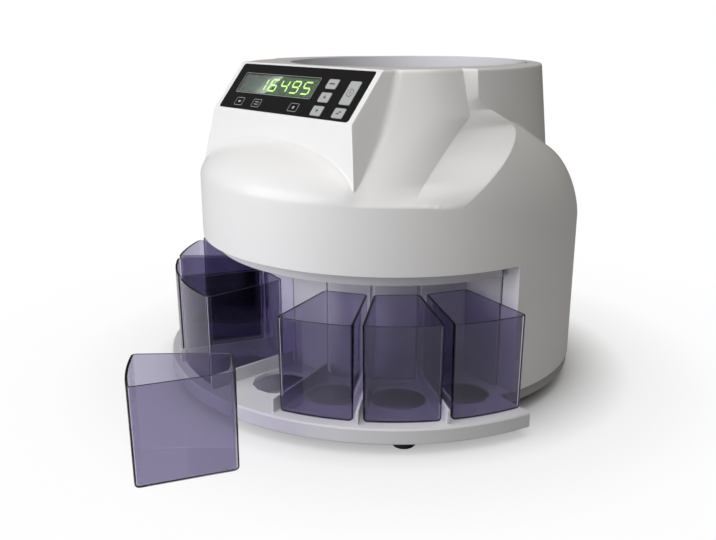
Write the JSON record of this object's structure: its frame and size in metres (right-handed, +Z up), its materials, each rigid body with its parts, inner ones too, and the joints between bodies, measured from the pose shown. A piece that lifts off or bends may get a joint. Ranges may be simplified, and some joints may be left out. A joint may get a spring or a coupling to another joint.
{
  "type": "coin counter",
  "caption": "Round tabletop coin counter with an open hopper, a slanted key panel, a sorting disc inside and smoky wedge cups round its foot, one of them taken out.",
  "frame": {"origin": "bottom centre of the bounding box, on the table", "axes": "+Z up, the control panel and the cups face -Y, the rear sockets face +Y"},
  "size_m": [0.3862, 0.4556, 0.266],
  "materials": {
    "black": "matt black",
    "black_gloss": "glossy black",
    "board_green": "green circuit board",
    "brass": "sintered bronze",
    "clear": "clear dark window",
    "key_grey": "soft matt grey",
    "light_grey": "satin light grey moulding",
    "lilac_grey": "satin lilac-grey moulding",
    "rubber": "soft black rubber",
    "smoke": "clear smoky violet moulding",
    "steel": "zinc-plated steel",
    "white": "glossy white moulding"
  },
  "bodies": {
    "machine": {"base_tray": "light_grey", "bearing_housing": "light_grey", "chute_ring": "white", "coin_rail": "steel", "control_panel": "black_gloss", "core_wall": "light_grey", "cover_screw_1": "steel", "cover_screw_2": "steel", "cover_screw_3": "steel", "cover_screw_4": "steel", "data_port": "black", "display_board": "board_green", "display_module": "black", "display_window": "clear", "drive_belt": "rubber", "drive_motor": "steel", "foot_1": "rubber", "foot_2": "rubber", "foot_3": "rubber", "foot_4": "rubber", "hopper_bowl": "lilac_grey", "lower_bush": "brass", "main_board": "board_green", "motor_bracket": "steel", "motor_screw_1": "steel", "motor_screw_2": "steel", "outer_cover": "white", "power_inlet": "black", "power_supply": "black", "power_switch": "black", "rear_panel": "light_grey", "sensor_board": "board_green", "sorting_deck": "light_grey", "upper_bush": "brass"},
    "cup_1_body": {"cup_1": "smoke"},
    "cup_2_body": {"cup_2": "smoke"},
    "cup_3_body": {"cup_3": "smoke"},
    "cup_4_body": {"cup_4": "smoke"},
    "cup_5_body": {"cup_5": "smoke"},
    "cup_6_body": {"cup_6": "smoke"},
    "cup_7_body": {"cup_7": "smoke"},
    "cup_8_body": {"cup_8": "smoke"},
    "key_outline_1_body": {"key_outline_1": "black_gloss"},
    "key_outline_2_body": {"key_outline_2": "black_gloss"},
    "key_outline_3_body": {"key_outline_3": "black_gloss"},
    "key_grey_1_body": {"key_grey_1": "key_grey"},
    "key_grey_2_body": {"key_grey_2": "key_grey"},
    "key_grey_3_body": {"key_grey_3": "key_grey"},
    "key_grey_4_body": {"key_grey_4": "key_grey"},
    "key_start_body": {"key_start": "key_grey"},
    "disc": {"feed_disc": "light_grey", "disc_cap": "black", "disc_shaft": "steel", "driven_pulley": "black"},
    "motor_wheel": {"motor_pulley": "black"},
    "rocker": {"power_rocker": "black_gloss"}
  },
  "joints": [
    {"name": "cup_1_slide", "type": "slide", "parent": "machine", "child": "cup_1_body", "axis": [0.9354, -0.3535, 0], "range_m": [0, 0.08]},
    {"name": "cup_2_slide", "type": "slide", "parent": "machine", "child": "cup_2_body", "axis": [0.7604, -0.6494, 0], "range_m": [0, 0.08]},
    {"name": "cup_3_slide", "type": "slide", "parent": "machine", "child": "cup_3_body", "axis": [0.4955, -0.8686, 0], "range_m": [0, 0.08]},
    {"name": "cup_4_lift", "type": "slide", "parent": "machine", "child": "cup_4_body", "axis": [0, 0, 1], "range_m": [0, 0.1]},
    {"name": "cup_5_slide", "type": "slide", "parent": "machine", "child": "cup_5_body", "axis": [-0.1719, -0.9851, 0], "range_m": [0, 0.08]},
    {"name": "cup_6_slide", "type": "slide", "parent": "machine", "child": "cup_6_body", "axis": [-0.4955, -0.8686, 0], "range_m": [0, 0.08]},
    {"name": "cup_7_slide", "type": "slide", "parent": "machine", "child": "cup_7_body", "axis": [-0.7604, -0.6494, 0], "range_m": [0, 0.08]},
    {"name": "cup_8_slide", "type": "slide", "parent": "machine", "child": "cup_8_body", "axis": [-0.9354, -0.3535, 0], "range_m": [0, 0.08]},
    {"name": "key_outline_1_press", "type": "slide", "parent": "machine", "child": "key_outline_1_body", "axis": [0, 0.7699, -0.6381], "range_m": [0, 0.0008], "stiffness_N_per_m": 400, "springref_m": -0.0005},
    {"name": "key_outline_2_press", "type": "slide", "parent": "machine", "child": "key_outline_2_body", "axis": [0, 0.7699, -0.6381], "range_m": [0, 0.0008], "stiffness_N_per_m": 400, "springref_m": -0.0005},
    {"name": "key_outline_3_press", "type": "slide", "parent": "machine", "child": "key_outline_3_body", "axis": [0, 0.7699, -0.6381], "range_m": [0, 0.0008], "stiffness_N_per_m": 400, "springref_m": -0.0005},
    {"name": "key_grey_1_press", "type": "slide", "parent": "machine", "child": "key_grey_1_body", "axis": [0, 0.7699, -0.6381], "range_m": [0, 0.0008], "stiffness_N_per_m": 400, "springref_m": -0.0005},
    {"name": "key_grey_2_press", "type": "slide", "parent": "machine", "child": "key_grey_2_body", "axis": [0, 0.7699, -0.6381], "range_m": [0, 0.0008], "stiffness_N_per_m": 400, "springref_m": -0.0005},
    {"name": "key_grey_3_press", "type": "slide", "parent": "machine", "child": "key_grey_3_body", "axis": [0, 0.7699, -0.6381], "range_m": [0, 0.0008], "stiffness_N_per_m": 400, "springref_m": -0.0005},
    {"name": "key_grey_4_press", "type": "slide", "parent": "machine", "child": "key_grey_4_body", "axis": [0, 0.7699, -0.6381], "range_m": [0, 0.0008], "stiffness_N_per_m": 400, "springref_m": -0.0005},
    {"name": "key_start_press", "type": "slide", "parent": "machine", "child": "key_start_body", "axis": [0, 0.7699, -0.6381], "range_m": [0, 0.0008], "stiffness_N_per_m": 400, "springref_m": -0.0005},
    {"name": "disc_turn", "type": "hinge", "parent": "machine", "child": "disc", "pos_m": [0, 0.06383, 0.172], "axis": [0, 0, 1], "continuous": true},
    {"name": "motor_turn", "type": "hinge", "parent": "machine", "child": "motor_wheel", "pos_m": [0, 0.13183, 0.1005], "axis": [0, 0, 1], "continuous": true},
    {"name": "power_rock", "type": "hinge", "parent": "machine", "child": "rocker", "pos_m": [0.005, 0.21793, 0.0413], "axis": [1, 0, 0], "range_deg": [-16, 0]}
  ],
  "couplings": [
    {"joint": "motor_turn", "follows": "disc_turn", "ratio": 4}
  ]
}
